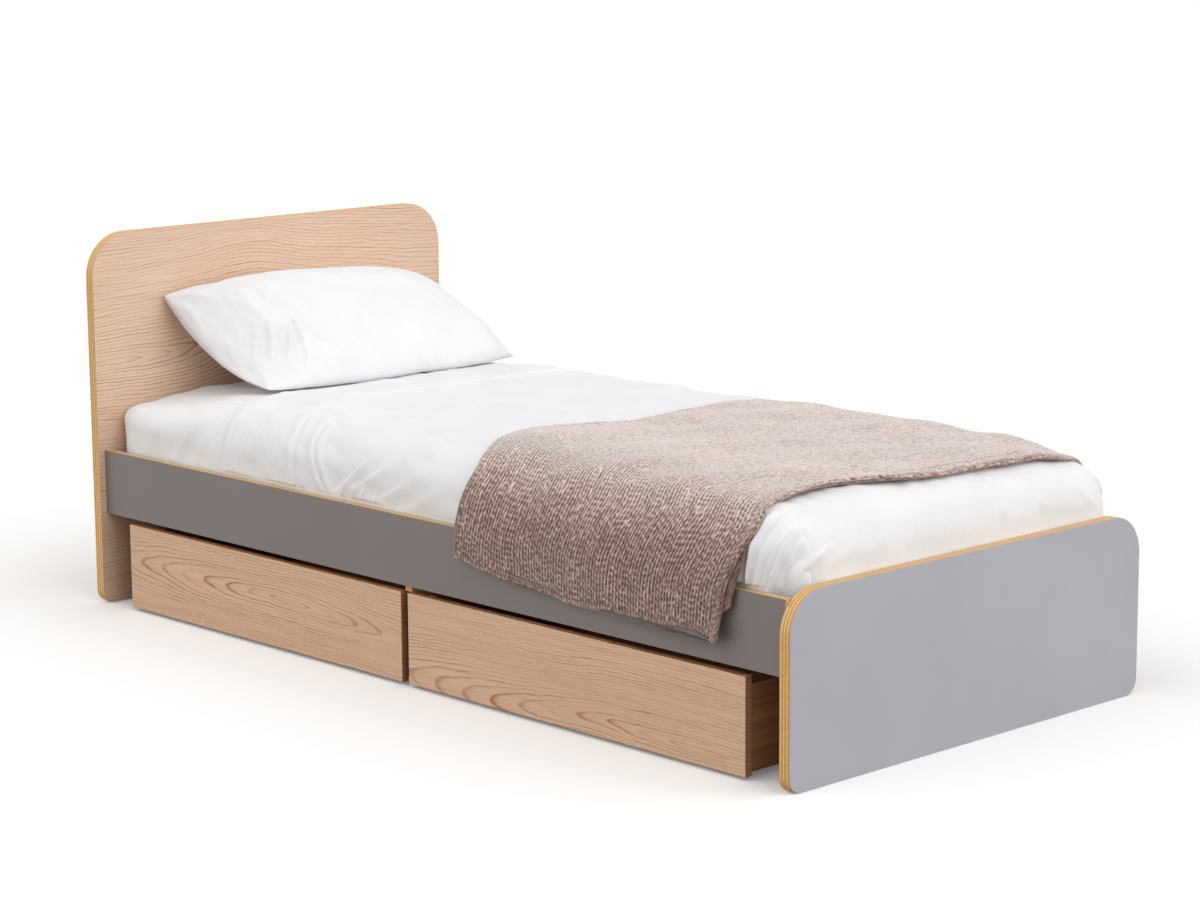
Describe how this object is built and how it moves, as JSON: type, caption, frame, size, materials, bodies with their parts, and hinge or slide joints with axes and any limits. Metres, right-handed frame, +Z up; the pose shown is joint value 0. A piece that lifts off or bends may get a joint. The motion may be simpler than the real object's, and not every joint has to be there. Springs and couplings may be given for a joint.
{
  "type": "single bed with drawers",
  "caption": "Single bed with rounded plywood head and foot panels, roll-out drawers under one long side, slatted base, mattress, propped pillow and folded knitted throw.",
  "frame": {"origin": "on the floor under the middle of the bed", "axes": "+X from head to foot, the drawers open towards -Y, +Z up"},
  "size_m": [2.06, 0.9808, 0.805],
  "materials": {
    "oak_veneer": "satin lacquer",
    "oak_board": "satin lacquer",
    "birch_plywood": "clear, edges left bare",
    "slat_wood": "planed, raw",
    "grey_laminate": "matt",
    "webbing": "woven",
    "bracket_steel": "zinc grey",
    "castor_plastic": "matt",
    "wheel_rubber": "matt",
    "white_cotton": "soft woven cotton",
    "throw_knit": "chunky knit"
  },
  "bodies": {
    "bed_frame": {"headboard_core": "birch_plywood", "headboard_front_veneer": "oak_veneer", "headboard_back_veneer": "oak_veneer", "footboard_core": "birch_plywood", "footboard_outer_laminate": "grey_laminate", "footboard_inner_laminate": "grey_laminate", "near_rail_core": "birch_plywood", "near_rail_outer_laminate": "grey_laminate", "near_rail_inner_laminate": "grey_laminate", "far_rail_core": "birch_plywood", "far_rail_outer_laminate": "grey_laminate", "far_rail_inner_laminate": "grey_laminate", "near_ledger": "slat_wood", "far_ledger": "slat_wood", "slat_01": "slat_wood", "slat_02": "slat_wood", "slat_03": "slat_wood", "slat_04": "slat_wood", "slat_05": "slat_wood", "slat_06": "slat_wood", "slat_07": "slat_wood", "slat_08": "slat_wood", "slat_09": "slat_wood", "slat_10": "slat_wood", "slat_11": "slat_wood", "slat_tapes": "webbing", "corner_brackets": "bracket_steel", "centre_support": "birch_plywood", "mattress": "white_cotton", "top_sheet": "white_cotton", "pillow": "white_cotton", "throw": "throw_knit"},
    "head_drawer": {"head_drawer_front": "oak_board", "head_drawer_back": "birch_plywood", "head_drawer_head_side": "oak_board", "head_drawer_foot_side": "oak_board", "head_drawer_bottom": "birch_plywood", "head_drawer_castor_housings": "castor_plastic"},
    "foot_drawer": {"foot_drawer_front": "oak_board", "foot_drawer_back": "birch_plywood", "foot_drawer_head_side": "oak_board", "foot_drawer_foot_side": "oak_board", "foot_drawer_bottom": "birch_plywood", "foot_drawer_castor_housings": "castor_plastic"},
    "head_drawer_wheel_1": {"head_drawer_wheel_1": "wheel_rubber"},
    "head_drawer_wheel_2": {"head_drawer_wheel_2": "wheel_rubber"},
    "head_drawer_wheel_3": {"head_drawer_wheel_3": "wheel_rubber"},
    "head_drawer_wheel_4": {"head_drawer_wheel_4": "wheel_rubber"},
    "foot_drawer_wheel_1": {"foot_drawer_wheel_1": "wheel_rubber"},
    "foot_drawer_wheel_2": {"foot_drawer_wheel_2": "wheel_rubber"},
    "foot_drawer_wheel_3": {"foot_drawer_wheel_3": "wheel_rubber"},
    "foot_drawer_wheel_4": {"foot_drawer_wheel_4": "wheel_rubber"}
  },
  "joints": [
    {"name": "head_drawer_slide", "type": "slide", "parent": "bed_frame", "child": "head_drawer", "axis": [0, -1, 0], "range_m": [0, 0.65]},
    {"name": "foot_drawer_slide", "type": "slide", "parent": "bed_frame", "child": "foot_drawer", "axis": [0, -1, 0], "range_m": [0, 0.65]},
    {"name": "head_drawer_wheel_1_spin", "type": "hinge", "parent": "head_drawer", "child": "head_drawer_wheel_1", "pos_m": [-0.849, -0.396, 0.016], "axis": [1, 0, 0], "continuous": true},
    {"name": "head_drawer_wheel_2_spin", "type": "hinge", "parent": "head_drawer", "child": "head_drawer_wheel_2", "pos_m": [-0.076, -0.396, 0.016], "axis": [1, 0, 0], "continuous": true},
    {"name": "head_drawer_wheel_3_spin", "type": "hinge", "parent": "head_drawer", "child": "head_drawer_wheel_3", "pos_m": [-0.849, 0.104, 0.016], "axis": [1, 0, 0], "continuous": true},
    {"name": "head_drawer_wheel_4_spin", "type": "hinge", "parent": "head_drawer", "child": "head_drawer_wheel_4", "pos_m": [-0.076, 0.104, 0.016], "axis": [1, 0, 0], "continuous": true},
    {"name": "foot_drawer_wheel_1_spin", "type": "hinge", "parent": "foot_drawer", "child": "foot_drawer_wheel_1", "pos_m": [0.076, -0.396, 0.016], "axis": [1, 0, 0], "continuous": true},
    {"name": "foot_drawer_wheel_2_spin", "type": "hinge", "parent": "foot_drawer", "child": "foot_drawer_wheel_2", "pos_m": [0.849, -0.396, 0.016], "axis": [1, 0, 0], "continuous": true},
    {"name": "foot_drawer_wheel_3_spin", "type": "hinge", "parent": "foot_drawer", "child": "foot_drawer_wheel_3", "pos_m": [0.076, 0.104, 0.016], "axis": [1, 0, 0], "continuous": true},
    {"name": "foot_drawer_wheel_4_spin", "type": "hinge", "parent": "foot_drawer", "child": "foot_drawer_wheel_4", "pos_m": [0.849, 0.104, 0.016], "axis": [1, 0, 0], "continuous": true}
  ],
  "couplings": [
    {"joint": "head_drawer_wheel_1_spin", "follows": "head_drawer_slide", "rad_per_m": 62.5},
    {"joint": "head_drawer_wheel_2_spin", "follows": "head_drawer_slide", "rad_per_m": 62.5},
    {"joint": "head_drawer_wheel_3_spin", "follows": "head_drawer_slide", "rad_per_m": 62.5},
    {"joint": "head_drawer_wheel_4_spin", "follows": "head_drawer_slide", "rad_per_m": 62.5},
    {"joint": "foot_drawer_wheel_1_spin", "follows": "foot_drawer_slide", "rad_per_m": 62.5},
    {"joint": "foot_drawer_wheel_2_spin", "follows": "foot_drawer_slide", "rad_per_m": 62.5},
    {"joint": "foot_drawer_wheel_3_spin", "follows": "foot_drawer_slide", "rad_per_m": 62.5},
    {"joint": "foot_drawer_wheel_4_spin", "follows": "foot_drawer_slide", "rad_per_m": 62.5}
  ]
}
